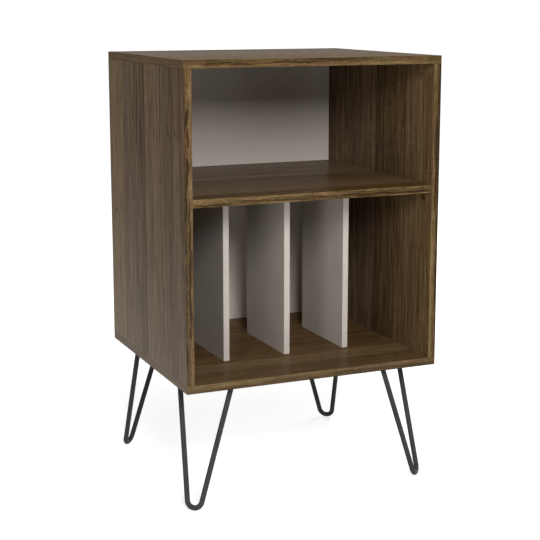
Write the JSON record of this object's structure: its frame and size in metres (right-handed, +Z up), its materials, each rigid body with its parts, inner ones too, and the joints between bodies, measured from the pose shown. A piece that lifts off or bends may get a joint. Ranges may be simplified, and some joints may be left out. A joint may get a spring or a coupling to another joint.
{
  "type": "record storage stand",
  "caption": "Open-fronted wood-print stand on bent-rod hairpin legs, with an open bay over a lower bay split by short upright dividers for vinyl records.",
  "frame": {"origin": "on the floor, under the middle of the stand's outer box", "axes": "+Z up; -Y out of the open front, towards the user; +X to the user's right when facing the front"},
  "size_m": [0.513, 0.45, 0.83],
  "materials": {
    "wood_print_board": "matte walnut wood-print laminate on particle board",
    "wood_print_edging": "satin wood-print edge band, lighter than the boards",
    "pale_back_sheet": "matte pale taupe printed hardboard",
    "pale_board": "matte pale taupe laminate on particle board",
    "pale_edging": "satin pale edge band",
    "leg_powder_coat": "matte charcoal powder coat on steel rod",
    "zinc_plate": "bright zinc plate",
    "cam_cover_plastic": "matte brown plastic",
    "beech_dowel": "raw beech"
  },
  "bodies": {
    "root": {"top_board": "wood_print_board", "bottom_board": "wood_print_board", "left_side_panel": "wood_print_board", "right_side_panel": "wood_print_board", "middle_shelf": "wood_print_board", "top_front_edge_band": "wood_print_edging", "top_left_edge_band": "wood_print_edging", "top_right_edge_band": "wood_print_edging", "bottom_front_edge_band": "wood_print_edging", "bottom_left_edge_band": "wood_print_edging", "bottom_right_edge_band": "wood_print_edging", "left_side_front_edge_band": "wood_print_edging", "right_side_front_edge_band": "wood_print_edging", "shelf_front_edge_band": "wood_print_edging", "back_panel": "pale_back_sheet", "left_divider": "pale_board", "middle_divider": "pale_board", "right_divider": "pale_board", "left_divider_edge_bands": "pale_edging", "middle_divider_edge_bands": "pale_edging", "right_divider_edge_bands": "pale_edging", "front_left_leg": "leg_powder_coat", "front_right_leg": "leg_powder_coat", "back_right_leg": "leg_powder_coat", "back_left_leg": "leg_powder_coat", "front_left_leg_plate": "leg_powder_coat", "front_right_leg_plate": "leg_powder_coat", "back_right_leg_plate": "leg_powder_coat", "back_left_leg_plate": "leg_powder_coat", "front_left_leg_screws": "zinc_plate", "front_right_leg_screws": "zinc_plate", "back_right_leg_screws": "zinc_plate", "back_left_leg_screws": "zinc_plate", "top_cam_bolts": "zinc_plate", "top_cam_locks": "zinc_plate", "shelf_cam_bolts": "zinc_plate", "shelf_cam_locks": "zinc_plate", "bottom_board_screws": "zinc_plate", "divider_screws": "zinc_plate", "back_panel_nails": "zinc_plate", "top_cam_covers": "cam_cover_plastic", "shelf_cam_covers": "cam_cover_plastic", "top_dowels": "beech_dowel", "shelf_dowels": "beech_dowel", "bottom_dowels": "beech_dowel", "divider_dowels": "beech_dowel"}
  },
  "joints": []
}
